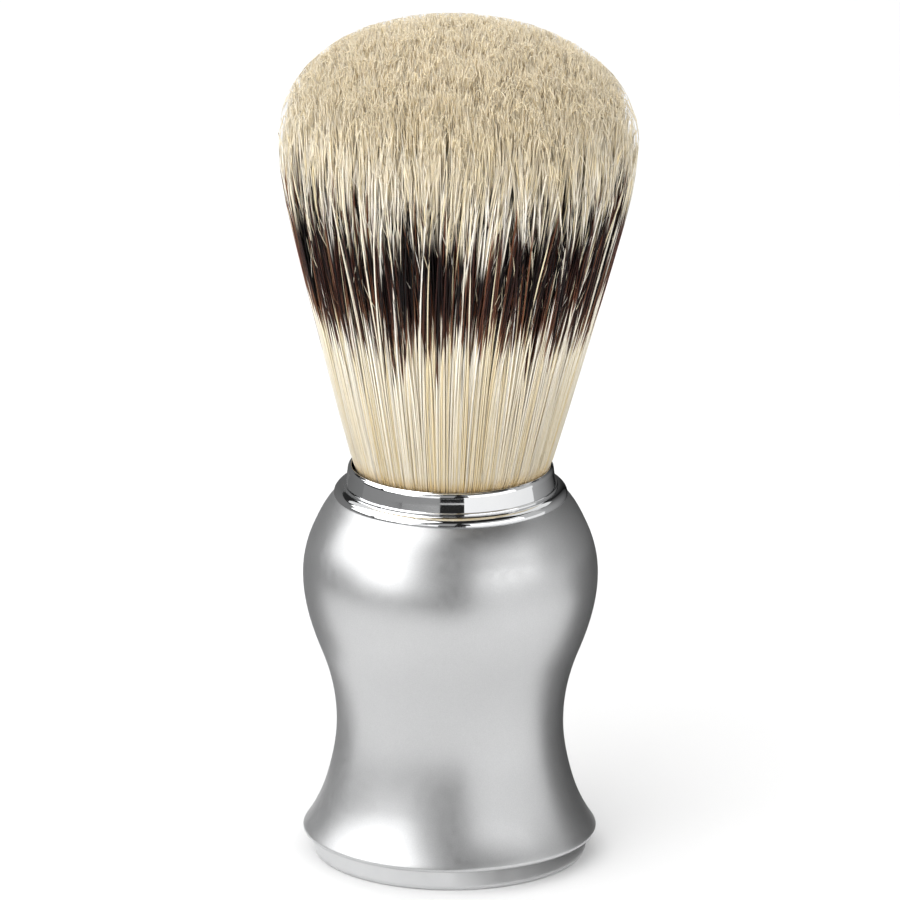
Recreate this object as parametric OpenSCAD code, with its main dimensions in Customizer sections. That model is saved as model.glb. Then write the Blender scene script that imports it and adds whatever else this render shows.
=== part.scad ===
// Shaving brush: a fan of bristle set in a polished ferrule on a hollow, waisted handle.
// Millimetres. +Z runs up the brush's axis, and the origin is the centre of the face it stands on.

/* [Handle] */
// Height of the handle's top edge, where the collar sits
handle_top_z = 47.3; // [46.5:0.1:48.5]
// Diameter of the handle's top edge
handle_top_d = 29.4; // [29:0.1:30.5]
// Widest diameter of the bulge below the collar
bulge_d = 37.4; // [36:0.1:40]
// Height of the bulge's widest line
bulge_z = 36.9; // [36:0.1:38]
// Narrowest diameter of the waist
waist_d = 28.8; // [28:0.1:31]
// Height of the waist's narrowest line
waist_z = 17.3; // [16.5:0.1:18.5]
// Diameter of the flared lip round the bottom
lip_d = 37.3; // [36.8:0.1:39]
// Height of the lip's widest line
lip_z = 3.25; // [3:0.05:3.6]
// Radius of the lip's rounded edge
lip_edge_r = 0.4; // [0.3:0.05:0.6]

/* [Base] */
// Outer diameter of the base cap's visible rim
cap_d = 34.7; // [34:0.1:35.5]
// Radius that rounds the base cap's bottom edge
cap_edge_r = 0.8; // [0.4:0.1:1.2]
// Depth of the shallow dish in the base cap's underside
dish_depth = 0.5; // [0.3:0.1:1]
// Outer diameter of the base cap's spigot, which presses into the handle
spigot_d = 30; // [29:0.1:30.4]
// Diameter of the ballast slug
ballast_d = 23; // [18:0.5:23.4]
// Length of the ballast slug
ballast_len = 7; // [5:0.5:7]

/* [Collar and ferrule] */
// Outer diameter of the collar bead
collar_d = 29.6; // [29.4:0.1:31]
// Height of the collar bead
collar_h = 1.2; // [1:0.1:1.6]
// Outer diameter of the ferrule's band where it meets its flange
band_d = 26.6; // [26.4:0.1:27.2]
// Outer diameter of the ferrule's rim
rim_d = 25.5; // [25.3:0.1:26]
// Height of the ferrule's rim
rim_z = 51.3; // [51:0.1:52.5]
// Inside diameter of the ferrule
ferrule_bore_d = 24.6; // [24.5:0.1:24.8]

/* [Knot] */
// Diameter of the knot where it leaves the ferrule
knot_d = 24.7; // [22:0.1:24.8]
// Widest diameter of the fan
fan_d = 45.4; // [38:0.2:52]
// Height of the fan's widest line above the rim
fan_rise = 42.7; // [38:0.1:46]
// Height of the tips above the rim
loft = 58.1; // [54:0.1:64]

/* [Hidden] */
$fn = 96;

satin_silver = "#c3c6c8";
pale_grey = "#c9cbcc";
chrome_silver = "#dfe3e6";
boar_cream = "#dfd3b6";

arc_steps = 10;
span_steps = 12;

// Lip underside, where the base cap's rim meets the handle
lip_underside_z = lip_z - lip_edge_r;
// Angle at which the flare runs into the lip's rounded edge
lip_start_angle = 35;

// Walls and levels inside the handle
press_gap = 0.1;
spigot_top_z = 6.4;
counterbore_z = 6.6;
throat_r = 13.6;
pocket_r = 11.8;
pocket_start_z = 12;
ledge_z = 15.7;
core_r = 10.6;
core_top_z = 34.5;
core_dome_h = 2;
socket_floor_z = 37;
socket_r = 13;
socket_lead_in = 0.3;

// Base cap's own sections
cap_floor_top_z = 2.4;
foot_w = 1.3;
dish_chamfer = 0.4;
spigot_wall = 1.6;
post_r = 5;
post_bore_r = 3.4;
post_top_z = 7.4;
pad_r = 10;
pad_h = 1.2;
ballast_chamfer = 0.5;

// Ferrule, plug and binding
adhesive_h = 0.6;
ferrule_wall = 0.6;
ferrule_floor = 0.8;
drain_r = 3;
flange_h = 0.35;
flange_r = 13.6;
rim_edge_r = 0.1;
rim_round_h = 0.75;
rim_round_share = 0.58;
mouth_depth = 1.2;
ferrule_base_z = socket_floor_z + adhesive_h;
tail_r = ferrule_bore_d / 2 + ferrule_wall;
resin_base_z = ferrule_base_z + ferrule_floor;
resin_h = 6;
root_r = 10.4;
root_base_z = resin_base_z + 2;
root_top_z = 47.2;
thread_r = 0.3;
thread_turns = 3;
thread_pitch = 0.65;
thread_start_z = resin_base_z + resin_h + 0.6;

// Heights, offsets and slopes of the handle's outside curve. A slope is radius over height.
flare_z = 9.5;
flare_out = 1.28;
flare_slope = -0.29;
rise_in = 0.15;
rise_slope = 0.41;
shoulder_z = 43;
shoulder_in = 1.35;
shoulder_slope = -0.46;
top_slope = -0.95;

// A station is [height, radius, slope].
flare_foot = [
    lip_z + lip_edge_r * sin(lip_start_angle),
    lip_d / 2 - lip_edge_r * (1 - cos(lip_start_angle)),
    -tan(lip_start_angle)
];
flare = [flare_z, waist_d / 2 + flare_out, flare_slope];
waist = [waist_z, waist_d / 2, 0];
rise = [(waist_z + bulge_z) / 2, (waist_d + bulge_d) / 4 - rise_in, rise_slope];
bulge = [bulge_z, bulge_d / 2, 0];
shoulder = [shoulder_z, bulge_d / 2 - shoulder_in, shoulder_slope];
handle_top = [handle_top_z, handle_top_d / 2, top_slope];

// Radius on the cubic curve from station a to station b, at the fraction t of the way up
function curve_r(a, b, t) =
    let (h = b[0] - a[0])
    (2 * t ^ 3 - 3 * t ^ 2 + 1) * a[1] + (t ^ 3 - 2 * t ^ 2 + t) * h * a[2]
    + (3 * t ^ 2 - 2 * t ^ 3) * b[1] + (t ^ 3 - t ^ 2) * h * b[2];

// Points [radius, height] from station a up to, but not at, station b
function span(a, b) = [
    for (i = [0 : span_steps - 1])
        let (t = i / span_steps)
        [curve_r(a, b, t), a[0] + t * (b[0] - a[0])]
];

// Points along the curve through a list of stations, ending at the last one
function curve(stations) = concat(
    [for (i = [0 : len(stations) - 2]) each span(stations[i], stations[i + 1])],
    [[stations[len(stations) - 1][1], stations[len(stations) - 1][0]]]
);

// Points [radius, height] on an elliptical arc from angle a0 up to, but not at, angle a1
function arc(centre_r, centre_z, half_w, half_h, a0, a1) = [
    for (i = [0 : arc_steps - 1])
        let (a = a0 + (a1 - a0) * i / arc_steps)
        [centre_r + half_w * cos(a), centre_z + half_h * sin(a)]
];

module turned(points) {
    rotate_extrude() polygon(points);
}

module handle_shell() {
    lip = arc(lip_d / 2 - lip_edge_r, lip_z, lip_edge_r, lip_edge_r, -90, lip_start_angle);
    outside = curve([flare_foot, flare, waist, rise, bulge, shoulder, handle_top]);
    color(satin_silver) difference() {
        turned(concat([[0, lip_underside_z]], lip, outside, [[0, handle_top_z]]));
        handle_cavity();
        translate([0, 0, socket_floor_z]) cylinder(r = socket_r, h = handle_top_z);
        translate([0, 0, handle_top_z - socket_lead_in])
            cylinder(r1 = socket_r, r2 = socket_r + 2 * socket_lead_in, h = 2 * socket_lead_in);
    }
}

// Space inside the handle: counterbore, throat, ballast pocket and the core hole above its ledge
module handle_cavity() {
    turned([
        [0, 0],
        [spigot_d / 2 + press_gap, 0],
        [spigot_d / 2 + press_gap, counterbore_z],
        [throat_r, counterbore_z],
        [pocket_r, pocket_start_z],
        [pocket_r, ledge_z],
        [core_r, ledge_z],
        [core_r, core_top_z - core_dome_h],
        [core_r - core_dome_h, core_top_z],
        [0, core_top_z]
    ]);
}

module base_cap() {
    cap_r = cap_d / 2;
    foot_r = cap_r - cap_edge_r - foot_w;
    spigot_r = spigot_d / 2;
    color(pale_grey) turned(concat(
        [
            [0, cap_floor_top_z],
            [0, dish_depth],
            [foot_r - dish_chamfer, dish_depth],
            [foot_r, 0]
        ],
        arc(cap_r - cap_edge_r, cap_edge_r, cap_edge_r, cap_edge_r, -90, 0),
        [
            [cap_r, cap_edge_r],
            [cap_r, lip_underside_z],
            [spigot_r, lip_underside_z],
            [spigot_r, spigot_top_z - spigot_wall / 2],
            [spigot_r - spigot_wall / 2, spigot_top_z],
            [spigot_r - spigot_wall, spigot_top_z],
            [spigot_r - spigot_wall, cap_floor_top_z],
            [post_r, cap_floor_top_z],
            [post_r, post_top_z],
            [post_bore_r, post_top_z],
            [post_bore_r, cap_floor_top_z]
        ]
    ));
}

module ballast_pad() {
    color("dimgray") translate([0, 0, post_top_z]) cylinder(r = pad_r, h = pad_h);
}

module ballast_weight() {
    bottom_z = post_top_z + pad_h;
    top_z = bottom_z + ballast_len;
    ballast_r = ballast_d / 2;
    color("slategray") turned([
        [0, bottom_z],
        [ballast_r - ballast_chamfer, bottom_z],
        [ballast_r, bottom_z + ballast_chamfer],
        [ballast_r, top_z - ballast_chamfer],
        [ballast_r - ballast_chamfer, top_z],
        [0, top_z]
    ]);
}

module setting_adhesive() {
    color("lightyellow") translate([0, 0, socket_floor_z]) cylinder(r = tail_r, h = adhesive_h);
}

module collar_ring() {
    bead_w = 1.3;
    foot_h = 0.12;
    bead_centre_r = collar_d / 2 - bead_w;
    color(chrome_silver) turned(concat(
        [
            [tail_r, handle_top_z],
            [handle_top_d / 2, handle_top_z]
        ],
        arc(bead_centre_r, handle_top_z + foot_h, bead_w, collar_h - foot_h, 0, 90),
        [
            [bead_centre_r, handle_top_z + collar_h],
            [tail_r, handle_top_z + collar_h]
        ]
    ));
}

module knot_ferrule() {
    bore_r = ferrule_bore_d / 2;
    flange_z = handle_top_z + collar_h;
    band_z = flange_z + flange_h;
    rim_r = rim_d / 2;
    round_w = rim_round_share * (band_d - rim_d) / 2;
    round_z = rim_z - rim_edge_r - rim_round_h;
    color(chrome_silver) turned(concat(
        [
            [drain_r, ferrule_base_z],
            [tail_r - ferrule_wall / 2, ferrule_base_z],
            [tail_r, ferrule_base_z + ferrule_wall / 2],
            [tail_r, flange_z],
            [flange_r, flange_z]
        ],
        arc(flange_r - flange_h / 2, flange_z + flange_h / 2, flange_h / 2, flange_h / 2, 0, 90),
        [
            [flange_r - flange_h / 2, band_z],
            [band_d / 2, band_z]
        ],
        arc(rim_r, round_z, round_w, rim_round_h, 0, 80),
        arc(rim_r - rim_edge_r, rim_z - rim_edge_r, rim_edge_r, rim_edge_r, 30, 180),
        [
            [rim_r - 2 * rim_edge_r, rim_z - rim_edge_r],
            [bore_r, rim_z - mouth_depth],
            [bore_r, resin_base_z],
            [drain_r, resin_base_z]
        ]
    ));
}

module resin_plug() {
    bore_r = ferrule_bore_d / 2;
    color("burlywood") difference() {
        translate([0, 0, resin_base_z]) cylinder(r = bore_r, h = resin_h);
        translate([0, 0, root_base_z]) cylinder(r = root_r, h = resin_h);
    }
}

// Thread turns drawn as closed rings side by side round the bristle roots
module root_binding() {
    color("ivory")
        for (turn = [0 : thread_turns - 1])
            translate([0, 0, thread_start_z + turn * thread_pitch])
                rotate_extrude() translate([root_r + thread_r, 0]) circle(r = thread_r, $fn = 24);
}

// Closed outer form of the knot: tied roots, a cone, and a domed fan
module bristle_knot() {
    roundness = 2.15;
    mouth_slope = 0.42;
    cone_foot_h = 3.5;
    cone_foot_w = 1.15;
    cone_top_fraction = 0.8;
    cone_top_in = 1.15;
    cone_top_slope = 0.24;
    fan_r = fan_d / 2;
    fan_z = rim_z + fan_rise;
    dome_h = loft - fan_rise;
    cone_slope = 0.268;
    side = curve([
        [root_top_z, root_r, 0],
        [rim_z, knot_d / 2, mouth_slope],
        [rim_z + cone_foot_h, knot_d / 2 + cone_foot_w, cone_slope],
        [rim_z + cone_top_fraction * fan_rise, fan_r - cone_top_in, cone_top_slope],
        [fan_z, fan_r, 0]
    ]);
    dome = [
        for (i = [1 : span_steps])
            let (a = 90 * i / span_steps)
            [fan_r * cos(a) ^ (2 / roundness), fan_z + dome_h * sin(a) ^ (2 / roundness)]
    ];
    color(boar_cream) turned(concat([[0, root_base_z], [root_r, root_base_z]], side, dome));
}

handle_shell();
base_cap();
ballast_pad();
ballast_weight();
setting_adhesive();
collar_ring();
knot_ferrule();
resin_plug();
root_binding();
bristle_knot();
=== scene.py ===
import math

import bpy
import numpy as np
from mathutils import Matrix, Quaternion, Vector, kdtree


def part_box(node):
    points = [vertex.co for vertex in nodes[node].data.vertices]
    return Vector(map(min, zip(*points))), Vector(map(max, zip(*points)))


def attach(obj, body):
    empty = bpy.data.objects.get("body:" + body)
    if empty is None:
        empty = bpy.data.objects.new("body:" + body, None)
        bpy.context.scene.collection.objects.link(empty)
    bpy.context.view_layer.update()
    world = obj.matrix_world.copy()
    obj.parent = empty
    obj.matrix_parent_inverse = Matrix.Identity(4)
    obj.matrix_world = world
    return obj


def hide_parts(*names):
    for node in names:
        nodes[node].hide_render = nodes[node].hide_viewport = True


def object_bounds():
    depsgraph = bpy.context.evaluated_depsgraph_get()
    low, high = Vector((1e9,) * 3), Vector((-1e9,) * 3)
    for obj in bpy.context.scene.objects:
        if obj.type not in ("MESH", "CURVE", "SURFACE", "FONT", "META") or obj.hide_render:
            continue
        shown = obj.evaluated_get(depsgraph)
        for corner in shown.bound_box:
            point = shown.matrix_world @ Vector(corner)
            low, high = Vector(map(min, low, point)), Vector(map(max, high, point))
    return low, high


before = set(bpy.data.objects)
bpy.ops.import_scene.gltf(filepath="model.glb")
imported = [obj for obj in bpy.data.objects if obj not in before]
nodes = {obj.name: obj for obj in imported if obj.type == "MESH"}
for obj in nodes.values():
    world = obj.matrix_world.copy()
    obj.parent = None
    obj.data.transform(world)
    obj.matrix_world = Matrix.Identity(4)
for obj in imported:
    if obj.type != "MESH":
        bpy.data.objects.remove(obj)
cad_low, cad_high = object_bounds()

MM = 0.001
SEED = 20
rim_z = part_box("knot_ferrule")[1].z
fan_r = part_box("bristle_knot")[1].x
object_h = cad_high.z
BAND_STEPS = 48


# ---------- camera ----------

def aim(azimuth, elevation):
    """Unit vector from the object towards a compass angle and a height angle, in degrees.
    Azimuth 0 is the front."""
    a = math.radians(azimuth)
    e = math.radians(elevation)
    return Vector((math.sin(a) * math.cos(e), -math.cos(a) * math.cos(e), math.sin(e)))


def make_camera():
    """A long lens a little above the object, rolled very slightly.
    The object fills the square frame."""
    elevation = 17.2
    distance = 16 * object_h
    frame_share = 0.9615
    roll = 0.19
    target = Vector((-0.001 * object_h, 0, 0.485 * object_h))
    data = bpy.data.cameras.new("camera")
    data.sensor_width = 36
    data.lens = data.sensor_width * frame_share * distance / object_h
    camera = bpy.data.objects.new("camera", data)
    bpy.context.scene.collection.objects.link(camera)
    back = aim(0, elevation)
    camera.location = target + back * distance
    camera.rotation_mode = "QUATERNION"
    turn = Quaternion((0, 0, 1), math.radians(roll))
    camera.rotation_quaternion = (-back).to_track_quat("-Z", "Y") @ turn
    bpy.context.scene.camera = camera


# ---------- studio ----------

def softbox(name, azimuth, elevation, width, height, radiance, lights="all"):
    """A rectangular light that faces the object. Width and height are the angles it fills, in degrees.
    It lights "all" surfaces, or only the "shiny" or the "matt" ones."""
    distance = 7.3 * object_h
    data = bpy.data.lights.new(name, "AREA")
    data.shape = "RECTANGLE"
    data.size = 2 * distance * math.tan(math.radians(width) / 2)
    data.size_y = 2 * distance * math.tan(math.radians(height) / 2)
    data.energy = radiance * math.pi * data.size * data.size_y
    light = bpy.data.objects.new(name, data)
    bpy.context.scene.collection.objects.link(light)
    back = aim(azimuth, elevation)
    light.location = Vector((0, 0, object_h / 2)) + back * distance
    light.rotation_mode = "QUATERNION"
    light.rotation_quaternion = (-back).to_track_quat("-Z", "Y")
    light.visible_camera = False
    light.visible_glossy = lights != "matt"
    light.visible_diffuse = lights != "shiny"


def make_world(ambient, reflected):
    """White where the camera looks straight at it, an even light on matt surfaces, and nearly dark
    in reflections."""
    world = bpy.data.worlds.new("studio")
    bpy.context.scene.world = world
    world.use_nodes = True
    tree = world.node_tree
    tree.nodes.clear()
    path = tree.nodes.new("ShaderNodeLightPath")
    out = tree.nodes.new("ShaderNodeOutputWorld")

    def background(grey):
        node = tree.nodes.new("ShaderNodeBackground")
        node.inputs["Color"].default_value = (grey, grey, grey, 1)
        return node.outputs["Background"]

    def choose(ray, otherwise, chosen):
        mix = tree.nodes.new("ShaderNodeMixShader")
        tree.links.new(path.outputs[ray], mix.inputs["Fac"])
        tree.links.new(otherwise, mix.inputs[1])
        tree.links.new(chosen, mix.inputs[2])
        return mix.outputs["Shader"]

    lit = choose("Is Glossy Ray", background(ambient), background(reflected))
    tree.links.new(choose("Is Camera Ray", lit, background(1)), out.inputs["Surface"])


def matt_grey(name, grey):
    """A matt material with an even grey."""
    material = bpy.data.materials.new(name)
    material.use_nodes = True
    shader = material.node_tree.nodes["Principled BSDF"]
    shader.inputs["Base Color"].default_value = (grey, grey, grey, 1)
    shader.inputs["Roughness"].default_value = 0.9
    shader.inputs["Specular IOR Level"].default_value = 0
    return material


def lit_card():
    """A black material that glows as much as each corner's own "glow" value says."""
    material = matt_grey("lit_card", 0)
    tree = material.node_tree
    glow = tree.nodes.new("ShaderNodeAttribute")
    glow.attribute_name = "glow"
    shader = tree.nodes["Principled BSDF"]
    shader.inputs["Emission Color"].default_value = (1, 1, 1, 1)
    tree.links.new(glow.outputs["Fac"], shader.inputs["Emission Strength"])
    return material


def band_mesh(name, inner, outer, from_azimuth, to_azimuth, material):
    """A strip between two (radius, height) edges, swept round the object from one azimuth to another."""
    turns = np.radians(np.linspace(from_azimuth, to_azimuth, BAND_STEPS + 1))
    corners = [(r * math.sin(a), -r * math.cos(a), z) for r, z in (inner, outer) for a in turns]
    faces = [(i, i + 1, i + BAND_STEPS + 2, i + BAND_STEPS + 1) for i in range(BAND_STEPS)]
    mesh = bpy.data.meshes.new(name)
    mesh.from_pydata(corners, [], faces)
    mesh.materials.append(material)
    band = bpy.data.objects.new(name, mesh)
    bpy.context.scene.collection.objects.link(band)
    return band


def make_floor():
    """A plain pale table top, wide enough to fill every view from above. From nearly level, its far edge
    is a faint line. The shiny parts reflect only the part of it that is near the object."""
    near = 1.45 * object_h
    far = 4.6 * object_h
    pale = matt_grey("floor", 0.74)
    band_mesh("floor_near", (0, 0), (near, 0), 0, 360, pale)
    wide = band_mesh("floor_wide", (near, 0), (far, 0), 0, 360, pale)
    wide.visible_glossy = False


def make_cards():
    """Curved cards round the object that draw the light and dark shapes in the satin and the chrome.
    Only shiny surfaces see them. The dark gap at the front of the collar is where there is only a narrow
    strip. The low ones shade the base cap towards its right."""
    material = lit_card()
    far = 1.44
    near = 0.42
    nearer = 0.3
    beside_cap = 0.168
    foot = 0.005
    cap_foot = 0.001
    cap_top = 0.027
    top = 0.6

    def card(name, azimuths, radius, low, high, glows):
        """Radius and heights are shares of the object's height. The glow changes evenly along the card."""
        lower = radius * object_h, low * object_h
        upper = radius * object_h, high * object_h
        strip = band_mesh(name, lower, upper, *azimuths, material)
        levels = np.tile(np.linspace(*glows, BAND_STEPS + 1), 2)
        strip.data.attributes.new("glow", "FLOAT", "POINT").data.foreach_set("value", levels)
        strip.visible_camera = False
        strip.visible_diffuse = False
        strip.visible_shadow = False

    card("card_left", (-114, -11), far, 0.002, 0.39, (0.24, 0.3))
    card("card_left_top", (-52, -11), far, 0.39, 0.45, (0.32, 0.35))
    card("card_right", (14, 100), far, 0.002, top, (1.02, 0.88))
    card("card_front_strip", (-11, 14), far, 0.35, 0.38, (0.6, 0.8))
    card("flag_behind_left", (-152, -98), near, foot, 0.36, (0.16, 0.28))
    card("flag_behind_left_top", (-152, -98), near, 0.36, top, (0.12, 0.2))
    card("flag_behind", (-180, -152), near, foot, top, (0.16, 0.12))
    card("flag_side_right", (84, 136), nearer, foot, 0.36, (0.18, 0.01))
    card("flag_side_top", (84, 136), nearer, 0.36, top, (0.4, 0.02))
    card("flag_behind_right", (136, 180), nearer, foot, top, (0, 0.16))
    card("flag_cap_front", (2, 22), beside_cap, cap_foot, cap_top, (0.8, 0.3))
    card("flag_cap_right", (22, 60), beside_cap, cap_foot, cap_top, (0.3, 0.08))
    card("flag_cap_side", (60, 160), beside_cap, cap_foot, cap_top, (0.08, 0))


def make_lights():
    """Keys and fills that only the shiny parts reflect, brightest on the left. One light over the back
    lights everything, and two soft ones light the matt parts."""
    softbox("key_left_front", -58, 36, 46, 68, 2.6, "shiny")
    softbox("key_left_back", -102, 38, 42, 64, 2.3, "shiny")
    softbox("fill_front", -32, 8, 40, 22, 1.0, "shiny")
    softbox("fill_middle", -9, 24, 26, 36, 0.28, "shiny")
    softbox("key_right_front", 32, 14, 24, 24, 2.1, "shiny")
    softbox("key_right_middle", 60, 14, 32, 24, 1.9, "shiny")
    softbox("key_right_back", 96, 22, 44, 44, 0.5, "shiny")
    softbox("key_right_top", 46, 34, 54, 20, 0.45, "shiny")
    softbox("top_behind", 180, 58, 80, 46, 0.8)
    softbox("soft_left", -52, 36, 70, 50, 1.5, "matt")
    softbox("soft_front", -6, 24, 90, 44, 2.05, "matt")


# ---------- turned metal ----------

def turned_outline(node):
    """The closed outline (radius, height) that a turned CAD node was spun from, in order, from its mesh."""
    close = 0.003 * MM
    mesh = nodes[node].data
    points = np.array([(math.hypot(v.co.x, v.co.y), v.co.z) for v in mesh.vertices])
    kinds, which = np.unique(np.round(points, 6), axis=0, return_inverse=True)
    same = np.abs(kinds[:, None] - kinds[None]).max(axis=2) < close
    which = same.argmax(axis=1)[which.ravel()]
    links = {int(kind): set() for kind in which}
    for edge in mesh.edges:
        a, b = (int(which[v]) for v in edge.vertices)
        if a != b:
            links[a].add(b)
            links[b].add(a)
    path = [min(links)]
    while True:
        onward = [kind for kind in links[path[-1]] if kind not in path]
        if not onward:
            return kinds[path]
        path.append(min(onward))


def turned_copy(node, name, material):
    """A finely divided copy of a turned CAD node, so that its polish reflects without facets."""
    segments = 256
    crease = math.radians(24)
    outline = turned_outline(node)
    count = len(outline)
    turns = 2 * math.pi * np.arange(segments) / segments
    corners = [(r * math.cos(a), r * math.sin(a), z) for a in turns for r, z in outline]
    along = np.diff(outline, axis=0, append=outline[:1])
    area = (outline[:, 0] * along[:, 1] - outline[:, 1] * along[:, 0]).sum()
    order = 1 if area > 0 else -1
    faces = []
    for s in range(segments):
        here, there = s * count, (s + 1) % segments * count
        for i in range(count):
            j = (i + 1) % count
            faces.append((here + i, there + i, there + j, here + j)[::order])
    mesh = bpy.data.meshes.new(name)
    mesh.from_pydata(corners, [], faces)
    mesh.shade_smooth()
    heading = np.arctan2(along[:, 1], along[:, 0])
    bend = np.abs((heading - np.roll(heading, 1) + math.pi) % (2 * math.pi) - math.pi)
    sharp = bend > crease
    marks = mesh.attributes.new("sharp_edge", "BOOLEAN", "EDGE")
    for edge, mark in zip(mesh.edges, marks.data):
        a, b = (v % count for v in edge.vertices)
        mark.value = bool(a == b and sharp[a])
    mesh.materials.append(material)
    piece = bpy.data.objects.new(name, mesh)
    bpy.context.scene.collection.objects.link(piece)
    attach(piece, "root")
    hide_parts(node)


# ---------- bristles ----------

HAIRS = 19000
HAIR_STEPS = 9
LOCKS = 1100
SHADES = 256
DYED_SHADES = 236
UV_LENGTH = 70 * MM
TUFTS = 8


def knot_outline():
    """Heights and radii of the CAD knot's outside, from its roots to its tip, read from its mesh."""
    points = np.array([v.co for v in nodes["bristle_knot"].data.vertices])
    radii = np.hypot(points[:, 0], points[:, 1])
    heights = np.round(points[:, 2], 6)
    levels = np.unique(heights)
    return levels, np.array([radii[heights == level].max() for level in levels])


def unit(vectors):
    return vectors / np.linalg.norm(vectors, axis=-1, keepdims=True)


def grow_hairs(rng):
    """Centre lines of the hairs. Each hair keeps its share of the knot's radius, so the bundle fans out."""
    jitter = 0.3
    outer_from = 0.8
    below_dome = 0.6 * MM
    tip_spread = 0.7 * MM
    outer_spread = 4.5 * MM
    tip_crowding = 1.2
    lock_bend = 1.4 * MM
    lock_drop = 0.5 * MM
    lock_pull = 0.6
    sway_spread = 0.9 * MM
    wild_share = 0.07
    wild_sway = 3
    wave_spread = 0.2 * MM
    wave_shift = 6
    levels, radii = knot_outline()
    widest = radii.argmax()
    order = np.arange(HAIRS)[:, None]
    spacing = math.sqrt(math.pi / HAIRS)
    golden = math.pi * (3 - math.sqrt(5))
    share = np.sqrt((order + 0.5) / HAIRS) + rng.uniform(-jitter, jitter, (HAIRS, 1)) * spacing
    share = np.clip(share, 0.003, 1)
    angle = golden * order + rng.uniform(-jitter, jitter, (HAIRS, 1)) * spacing / share
    root_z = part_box("root_binding")[1].z
    dome_r = radii[widest:][::-1]
    dome_z = levels[widest:][::-1]
    outer = np.clip((share - outer_from) / (1 - outer_from), 0, 1)
    tip_z = np.interp(share * fan_r, dome_r, dome_z) - below_dome
    tip_z -= np.abs(rng.normal(0, tip_spread, share.shape))
    tip_z -= outer * np.abs(rng.normal(0, outer_spread, share.shape))
    t = 1 - (1 - np.linspace(0, 1, HAIR_STEPS + 1)) ** tip_crowding
    z = root_z + (tip_z - root_z) * t
    r = share * np.interp(z, levels[:widest + 1], radii[:widest + 1])
    lines = np.stack([r * np.cos(angle), r * np.sin(angle), z], axis=-1)

    offset, lock = to_lock(rng, share, angle)
    bend = rng.normal(0, lock_bend, (LOCKS, 2))[lock]
    lines[..., 2] -= t ** 3 * np.abs(rng.normal(0, lock_drop, (LOCKS, 1)))[lock]
    way = rng.uniform(0, 2 * math.pi, share.shape)
    wild = np.where(rng.uniform(0, 1, share.shape) < wild_share, wild_sway, 1)
    sway = wild * rng.normal(0, sway_spread, share.shape)
    sway = sway * np.concatenate([np.cos(way), np.sin(way)], axis=1)
    outward = np.concatenate([np.cos(angle), np.sin(angle)], axis=1)
    shift = lock_pull * offset + bend + sway
    shift -= outer * np.maximum((shift * outward).sum(axis=1, keepdims=True), 0) * outward
    lines[..., :2] += t[..., None] ** 3 * shift[:, None]
    wave = rng.normal(0, wave_spread, share.shape)
    wave = wave * np.sin(rng.uniform(4, 9, share.shape) * t + wave_shift * share) * t
    lines[..., 0] -= wave * np.sin(way)
    lines[..., 1] += wave * np.cos(way)
    return lines


def to_lock(rng, share, angle):
    """The small lock of hairs that each hair clings to, and how far its tip is from that lock's middle."""
    lock_share = np.sqrt(rng.uniform(0, 1, LOCKS))
    lock_angle = rng.uniform(0, 2 * math.pi, LOCKS)
    middle_x = lock_share * np.cos(lock_angle)
    middle_y = lock_share * np.sin(lock_angle)
    middles = np.stack([middle_x, middle_y, 0 * lock_share], axis=-1)
    places = np.concatenate([share * np.cos(angle), share * np.sin(angle), 0 * share], axis=-1)
    tree = kdtree.KDTree(LOCKS)
    for number, middle in enumerate(middles):
        tree.insert(middle, number)
    tree.balance()
    nearest = np.array([tree.find(place)[1] for place in places])
    return (middles[nearest] - places)[:, :2] * fan_r, nearest


def hold_in(lines):
    """Keeps stray ends close to the knot's outline: sideways below its widest line, and from above
    on its dome."""
    levels, radii = knot_outline()
    widest = radii.argmax()
    inset = 0.1 * MM
    dome_inset = 0.55 * MM
    give = 0.03
    r = np.hypot(lines[..., 0], lines[..., 1])
    limit = np.interp(lines[..., 2], levels[:widest + 1], radii[:widest + 1]) - inset
    over = np.maximum(r - limit, 0)
    lines[..., :2] *= ((r - (1 - give) * over) / np.maximum(r, MM))[..., None]
    r = np.hypot(lines[..., 0], lines[..., 1])
    top = np.interp(r, radii[widest:][::-1], levels[widest:][::-1]) - dome_inset
    lines[..., 2] -= (1 - give) * np.maximum(lines[..., 2] - top, 0)
    return lines


def set_lean(lines):
    """Leans the whole knot a little to one side, with the crown cut slightly lower on that side.
    The knot also sits a little off centre in the ferrule's mouth."""
    lean = math.tan(math.radians(0.9))
    crown = math.tan(math.radians(2.2))
    off_centre = 0.2 * MM
    mouth = 4 * MM
    rise = np.maximum(lines[..., 2] - rim_z, 0)
    lines[..., 2] -= crown * lines[..., 0] * (rise / (object_h - rim_z)) ** 2
    lines[..., 0] += lean * rise + off_centre * np.clip((lines[..., 2] - rim_z) / mouth + 1, 0, 1)
    return lines


def lengths_along(lines):
    steps = np.linalg.norm(np.diff(lines, axis=1), axis=-1)
    return np.concatenate([np.zeros((len(lines), 1)), np.cumsum(steps, axis=1)], axis=1)


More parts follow.
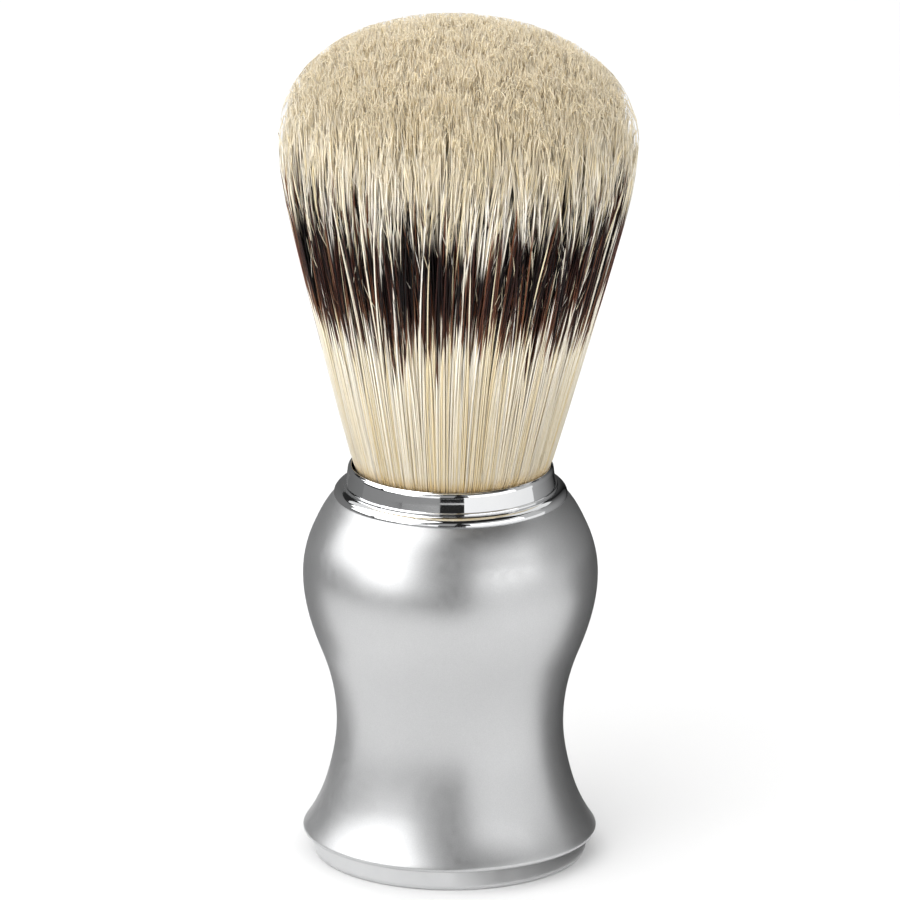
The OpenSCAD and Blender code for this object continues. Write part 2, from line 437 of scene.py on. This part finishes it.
def split_ends(rng, lines, lengths):
    """Fine flags that fork off the hairs, as boar hair does: their lines, parents and lengths along.
    Hairs inside the knot fork near their tips. Those on its outside also fork lower down."""
    steps = 3
    forked_share = 0.75
    outside_from = 0.9
    outside_reach = 0.5
    inside_reach = 0.1
    spread = 0.16
    curl_spread = 0.05
    parents = np.flatnonzero(rng.uniform(0, 1, len(lines)) < forked_share)
    parents = np.repeat(parents, rng.integers(1, 3, len(parents)))
    count = len(parents)
    root_r = np.hypot(lines[:, 0, 0], lines[:, 0, 1])
    outside = root_r[parents] > outside_from * root_r.max()
    place = (1 - rng.uniform(0.01, np.where(outside, outside_reach, inside_reach))) * (lines.shape[1] - 1)
    segment = place.astype(int)
    part = (place - segment)[:, None]
    low, high = lines[parents, segment], lines[parents, segment + 1]
    start = low + part * (high - low)
    begun = lengths[parents, segment] + part[:, 0] * np.linalg.norm(high - low, axis=-1)
    way = unit(unit(high - low) + rng.normal(0, spread, (count, 3)))
    reach = rng.uniform(1.5 * MM, 5 * MM, (count, 1, 1))
    t = np.linspace(0, 1, steps + 1)[None, :, None]
    curl = rng.normal(0, curl_spread, (count, 1, 3)) * t ** 2
    forks = start[:, None] + reach * (way[:, None] * t + curl)
    return forks, parents, begun[:, None] + lengths_along(forks)


def tubes(lines, widths, shades, lengths):
    """Closed, pointed, three-sided tubes along the lines: corners, face corners, face sizes and UVs."""
    turn_per_shade = 2.4
    count, points = lines.shape[:2]
    tangent = unit(np.gradient(lines, axis=1))
    turn = (shades * turn_per_shade)[:, None]
    side = np.stack([np.cos(turn), np.sin(turn), 0 * turn], axis=-1)
    side = unit(side - (side * tangent).sum(-1, keepdims=True) * tangent)
    other = np.cross(tangent, side)
    corners = []
    for corner in range(3):
        a = 2 * math.pi * corner / 3
        corners.append(lines + widths[..., None] / 2 * (math.cos(a) * side + math.sin(a) * other))
    rings = np.stack(corners, axis=2)[:, :-1].reshape(count, -1, 3)
    verts = np.concatenate([rings, lines[:, -1:]], axis=1)

    tip = 3 * (points - 1)
    faces = [(0, 2, 1)]
    for low in range(0, tip - 3, 3):
        faces += [(low + c, low + (c + 1) % 3, low + 3 + (c + 1) % 3, low + 3 + c) for c in range(3)]
    faces += [(tip - 3 + c, tip - 3 + (c + 1) % 3, tip) for c in range(3)]
    pattern = np.array([corner for face in faces for corner in face])
    sizes = np.array([len(face) for face in faces])

    across = np.append(np.tile([0.3, 0.5, 0.7], points - 1), 0.5)
    up = np.append(np.repeat(np.arange(points - 1), 3), points - 1)
    u = (shades[:, None] + across) / SHADES
    v = lengths[:, up] / UV_LENGTH
    uv = np.stack([u, v], axis=-1)[:, pattern]
    first = np.arange(count)[:, None] * (tip + 1)
    return verts.reshape(-1, 3), (first + pattern).ravel(), np.tile(sizes, count), uv.reshape(-1, 2)


def hair_piece(name, bundles, material):
    """One mesh from several bundles of tubes."""
    parts = [tubes(*bundle) for bundle in bundles]
    shifts = np.cumsum([0] + [len(part[0]) for part in parts[:-1]])
    verts = np.concatenate([part[0] for part in parts])
    corners = np.concatenate([part[1] + shift for part, shift in zip(parts, shifts)])
    sizes = np.concatenate([part[2] for part in parts])
    uv = np.concatenate([part[3] for part in parts])
    mesh = bpy.data.meshes.new(name)
    mesh.vertices.add(len(verts))
    mesh.vertices.foreach_set("co", verts.ravel())
    mesh.loops.add(len(corners))
    mesh.loops.foreach_set("vertex_index", corners.astype(np.int32))
    mesh.polygons.add(len(sizes))
    mesh.polygons.foreach_set("loop_start", (np.cumsum(sizes) - sizes).astype(np.int32))
    mesh.uv_layers.new(name="OFBake").data.foreach_set("uv", uv.ravel())
    mesh.update(calc_edges=True)
    mesh.shade_smooth()
    mesh.materials.append(material)
    piece = bpy.data.objects.new(name, mesh)
    bpy.context.scene.collection.objects.link(piece)
    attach(piece, "root")
    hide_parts("bristle_knot")


def make_bristles(material):
    """The whole knot, in tufts. Hairs thin slightly towards their tips, and some forks are always pale."""
    root_swell = 1.06
    tip_taper = 0.26
    fork_taper = 0.5
    pale_share = 0.35
    rng = np.random.default_rng(SEED)
    lines = hold_in(grow_hairs(rng))
    lengths = lengths_along(lines)
    shades = rng.integers(0, SHADES, HAIRS)
    t = lengths / lengths[:, -1:]
    root_w = np.clip(rng.normal(0.25 * MM, 0.04 * MM, (HAIRS, 1)), 0.16 * MM, 0.34 * MM)
    widths = root_w * (root_swell - tip_taper * t ** 2)
    forks, parents, fork_lengths = split_ends(rng, lines, lengths)
    forks = set_lean(hold_in(forks))
    lines = set_lean(lines)
    fork_t = np.linspace(0, 1, forks.shape[1])
    fork_widths = rng.uniform(0.08 * MM, 0.14 * MM, (len(forks), 1)) * (1 - fork_taper * fork_t)
    pale = rng.integers(DYED_SHADES, SHADES, len(forks))
    fork_shades = np.where(rng.uniform(0, 1, len(forks)) < pale_share, pale, shades[parents])
    around = np.arctan2(lines[:, 0, 1], lines[:, 0, 0]) / (2 * math.pi) + 0.5
    tuft = (around * TUFTS).astype(int) % TUFTS
    for number in range(TUFTS):
        mine = tuft == number
        forked = tuft[parents] == number
        hairs = lines[mine], widths[mine], shades[mine], lengths[mine]
        ends = forks[forked], fork_widths[forked], fork_shades[forked], fork_lengths[forked]
        hair_piece(f"bristles_{number + 1}", [hairs, ends], material)


# ---------- materials ----------

class Nodes:
    """Builds one material's node tree, a node at a time, with links from other nodes' outputs as inputs."""

    def __init__(self, name):
        self.material = bpy.data.materials.new(name)
        self.material.use_nodes = True
        self.tree = self.material.node_tree
        self.shader = self.tree.nodes["Principled BSDF"]

    def add(self, kind, inputs=None, **settings):
        node = self.tree.nodes.new("ShaderNode" + kind)
        for key, value in settings.items():
            setattr(node, key, value)
        for key, value in (inputs or {}).items():
            self.put(node, key, value)
        return node

    def put(self, node, key, value):
        """Sets an input to a constant, or links it to another node's output."""
        if isinstance(value, bpy.types.NodeSocket):
            self.tree.links.new(value, node.inputs[key])
        else:
            node.inputs[key].default_value = value

    def finish(self, **inputs):
        for key, value in inputs.items():
            self.put(self.shader, key.replace("_", " "), value)
        return self.material

    def math(self, operation, a, b=0.0, c=0.0):
        return self.add("Math", {0: a, 1: b, 2: c}, operation=operation).outputs[0]

    def position(self):
        return self.add("TexCoord").outputs["Object"]

    def noise(self, scale, detail=3.0, vector=None):
        inputs = {"Vector": vector or self.position(), "Scale": scale, "Detail": detail}
        return self.add("TexNoise", inputs).outputs["Fac"]

    def remap(self, value, low, high, to_low, to_high, smooth=False):
        inputs = {"Value": value, "From Min": low, "From Max": high, "To Min": to_low, "To Max": to_high}
        kind = "SMOOTHSTEP" if smooth else "LINEAR"
        return self.add("MapRange", inputs, interpolation_type=kind).outputs["Result"]

    def ramp(self, value, stops):
        """A colour ramp. Stops are (position, (red, green, blue)), lowest position first."""
        node = self.add("ValToRGB", {"Fac": value})
        points = node.color_ramp.elements
        while len(points) < len(stops):
            points.new(0.5)
        for point, (position, colour) in zip(points, stops):
            point.position = position
            point.color = (*colour, 1)
        return node.outputs["Color"]

    def blend(self, factor, a, b, mode="MIX"):
        node = self.add("Mix", data_type="RGBA", blend_type=mode)
        for key, value in ((0, factor), (6, a), (7, b)):
            self.put(node, key, value)
        return node.outputs[2]

    def bump(self, height, strength, distance):
        inputs = {"Height": height, "Strength": strength, "Distance": distance}
        return self.add("Bump", inputs).outputs["Normal"]


def satin_metal():
    """Fine-grained satin silver: a slow cloud in its tone, and a grain of about a tenth of a millimetre."""
    n = Nodes("satin_shell")
    cloud = n.noise(60, 4)
    grain = n.noise(8000, 2)
    tone = n.math("MULTIPLY_ADD", grain, 0.6, n.math("MULTIPLY", cloud, 0.4))
    silver = n.ramp(tone, [(0.3, (0.515, 0.519, 0.524)), (0.7, (0.6, 0.604, 0.608))])
    roughness = n.remap(n.noise(1400, 3), 0.3, 0.7, 0.36, 0.42)
    return n.finish(Base_Color=silver, Metallic=1.0, Roughness=roughness, Normal=n.bump(grain, 0.1, 0.00003))


def polished_chrome():
    n = Nodes("polished_chrome")
    smudge = n.noise(220, 4)
    plate = n.ramp(smudge, [(0.3, (0.86, 0.87, 0.88)), (0.7, (0.9, 0.905, 0.91))])
    roughness = n.remap(smudge, 0.35, 0.75, 0.04, 0.09)
    return n.finish(Base_Color=plate, Metallic=1.0, Roughness=roughness)


def moulded_cap():
    n = Nodes("cap_plastic")
    grey = n.ramp(n.noise(150, 4), [(0.3, (0.62, 0.625, 0.63)), (0.7, (0.66, 0.663, 0.666))])
    roughness = n.remap(n.noise(900, 3), 0.3, 0.7, 0.36, 0.46)
    grain = n.noise(5200, 3)
    return n.finish(Base_Color=grey, Metallic=0.92, Roughness=roughness, Normal=n.bump(grain, 0.1, 0.00003))


def steel_slug():
    n = Nodes("ballast_steel")
    scale = n.noise(120, 5)
    steel = n.ramp(scale, [(0.35, (0.3, 0.3, 0.31)), (0.62, (0.46, 0.46, 0.47)), (0.8, (0.32, 0.25, 0.2))])
    roughness = n.remap(scale, 0.3, 0.8, 0.32, 0.6)
    return n.finish(Base_Color=steel, Metallic=1.0, Roughness=roughness, Normal=n.bump(scale, 0.2, 0.0001))


def pad_foam():
    n = Nodes("pad_foam")
    cells = n.add("TexVoronoi", {"Vector": n.position(), "Scale": 1800}).outputs["Distance"]
    grey = n.ramp(cells, [(0.1, (0.03, 0.03, 0.032)), (0.7, (0.075, 0.075, 0.08))])
    roughness = n.remap(cells, 0.0, 0.8, 0.95, 0.8)
    return n.finish(Base_Color=grey, Roughness=roughness, Normal=n.bump(cells, 0.6, 0.0002))


def clear_set(name, thin, thick, low_roughness, high_roughness):
    """A set resin or glue, a little uneven in colour and gloss."""
    n = Nodes(name)
    flow = n.noise(260, 4)
    tint = n.ramp(flow, [(0.3, thin), (0.7, thick)])
    roughness = n.remap(n.noise(700, 3), 0.3, 0.7, low_roughness, high_roughness)
    return n.finish(Base_Color=tint, Roughness=roughness, Normal=n.bump(flow, 0.15, 0.0002))


def binding_thread():
    n = Nodes("binding_thread")
    inputs = {"Vector": n.position(), "Scale": 900, "Distortion": 2.0}
    fibre = n.add("TexWave", inputs, bands_direction="DIAGONAL").outputs["Fac"]
    thread = n.ramp(fibre, [(0.1, colour("#B8A98A")), (0.8, colour("#E6DCC4"))])
    roughness = n.remap(fibre, 0.0, 1.0, 0.9, 0.7)
    return n.finish(Base_Color=thread, Roughness=roughness, Normal=n.bump(fibre, 0.5, 0.0001))


def colour(code):
    """Linear colour from a hexadecimal screen colour."""
    parts = [int(code[i:i + 2], 16) / 255 for i in (1, 3, 5)]
    return tuple(c / 12.92 if c <= 0.04045 else ((c + 0.055) / 1.055) ** 2.4 for c in parts)


def boar_bristle():
    """Boar hair with one dyed band. It reads only the hairs' own UV: across is the hair's shade, and up
    is the length along it. Heights are in millimetres. The seeds keep the three sets of draws apart."""
    starts_seed = 0.5
    ends_seed = 300.5
    looks_seed = 900.5
    point_length = 14.0
    n = Nodes("boar_bristle")
    uv = n.add("UVMap", uv_map="OFBake").outputs["UV"]
    split = n.add("SeparateXYZ", {"Vector": uv})
    shade = n.math("MULTIPLY", split.outputs["X"], SHADES)
    hair = n.math("FLOOR", shade)
    off_middle = n.math("ABSOLUTE", n.math("SUBTRACT", n.math("FRACT", shade), 0.5))
    along = n.math("MULTIPLY", split.outputs["Y"], UV_LENGTH / MM)

    def draw(seed):
        """Three random numbers from 0 to 1 for each hair."""
        number = n.math("ADD", hair, seed)
        rolled = n.add("TexWhiteNoise", {"W": number}, noise_dimensions="1D").outputs["Color"]
        return n.add("SeparateColor", {"Color": rolled}).outputs

    def level(middle, reach, rolls):
        """A height along the hair in millimetres, spread about a middle."""
        return n.math("MULTIPLY_ADD", n.math("ADD", rolls[0], rolls[1]), reach, middle - reach)

    starts = level(24.9, 5.6, draw(starts_seed))
    ends = level(43.0, 7.5, draw(ends_seed))
    looks = draw(looks_seed)
    inked = n.math("SUBTRACT", along, n.math("MULTIPLY_ADD", off_middle, point_length, starts))
    begun = n.remap(inked, -0.25, 0.25, 0.0, 1.0, smooth=True)
    ended = n.remap(n.math("SUBTRACT", along, ends), -2.2, 2.2, 1.0, 0.0, smooth=True)
    dyed = n.math("LESS_THAN", hair, DYED_SHADES - 0.5)
    band = n.math("MULTIPLY", n.math("MULTIPLY", begun, ended), dyed)

    cream = n.ramp(looks[0], [
        (0.0, colour("#DFCDA5")),
        (0.25, colour("#E8DBBE")),
        (0.6, colour("#ECE3CF")),
        (1.0, colour("#F2EDE1")),
    ])
    dark = n.ramp(looks[1], [
        (0.0, colour("#080606")),
        (0.45, colour("#150D0D")),
        (0.8, colour("#3A2019")),
        (1.0, colour("#683F2B")),
    ])
    spot = n.math("MULTIPLY_ADD", hair, 3.7, n.math("MULTIPLY", along, 0.35))
    speckle = {"W": spot, "Scale": 1.0, "Detail": 2.0}
    mottle = n.add("TexNoise", speckle, noise_dimensions="1D").outputs["Fac"]
    russet = n.math("MULTIPLY", n.remap(inked, 0.5, 4.5, 0.9, 0.0), looks[2])
    dark = n.blend(russet, dark, (*colour("#6B4029"), 1))
    warm = n.math("MULTIPLY", n.remap(mottle, 0.4, 0.8, 0.0, 0.3), looks[2])
    cream = n.blend(warm, cream, (*colour("#DCC596"), 1))
    aged = n.remap(along, 43.0, 59.0, 0.0, 0.75, smooth=True)
    cream = n.blend(aged, cream, (*colour("#E8D4A9"), 1))
    # Painted shade, with a greyer tone: the hairs are darker and greyer towards their roots, fully up to 8
    # mm along and fading out by 30 mm.
    root_shade_and_grey = n.remap(along, 8.0, 30.0, 1.0, 0.0, smooth=True)
    cream = n.blend(root_shade_and_grey, cream, (*colour("#DAD6CE"), 1), "MULTIPLY")
    # Browner at the roots: a golden brown blended in up to 5 mm along, fading out by 7.5 mm.
    root_brown = n.remap(along, 5.0, 7.5, 0.6, 0.0, smooth=True)
    cream = n.blend(root_brown, cream, (*colour("#A88648"), 1))
    roughness = n.remap(mottle, 0.3, 0.7, 0.38, 0.54)
    n.shader.subsurface_method = "RANDOM_WALK"
    n.put(n.shader, "Subsurface Radius", (1.0, 1.0, 1.0))
    n.put(n.shader, "Subsurface Scale", 0.4 * MM)
    n.put(n.shader, "Subsurface Weight", 0.5)
    n.put(n.shader, "Specular IOR Level", 0.2)
    return n.finish(Base_Color=n.blend(band, cream, dark), Roughness=roughness)


def paint(node, material):
    for place in nodes[node].material_slots:
        place.material = material


paint("base_cap", moulded_cap())
paint("ballast_weight", steel_slug())
paint("ballast_pad", pad_foam())
paint("setting_adhesive", clear_set("adhesive_bed", colour("#E9DDB0"), colour("#D9C88E"), 0.25, 0.45))
paint("resin_plug", clear_set("bonding_resin", colour("#C79A5B"), colour("#A87A3E"), 0.15, 0.35))
paint("root_binding", binding_thread())
chrome = polished_chrome()
turned_copy("handle_shell", "satin_handle", satin_metal())
turned_copy("collar_ring", "collar_bead", chrome)
turned_copy("knot_ferrule", "ferrule_band", chrome)

make_bristles(boar_bristle())
make_world(ambient=0.9, reflected=0.02)
make_floor()
make_cards()
make_lights()
make_camera()
bpy.context.scene.view_settings.view_transform = "Standard"
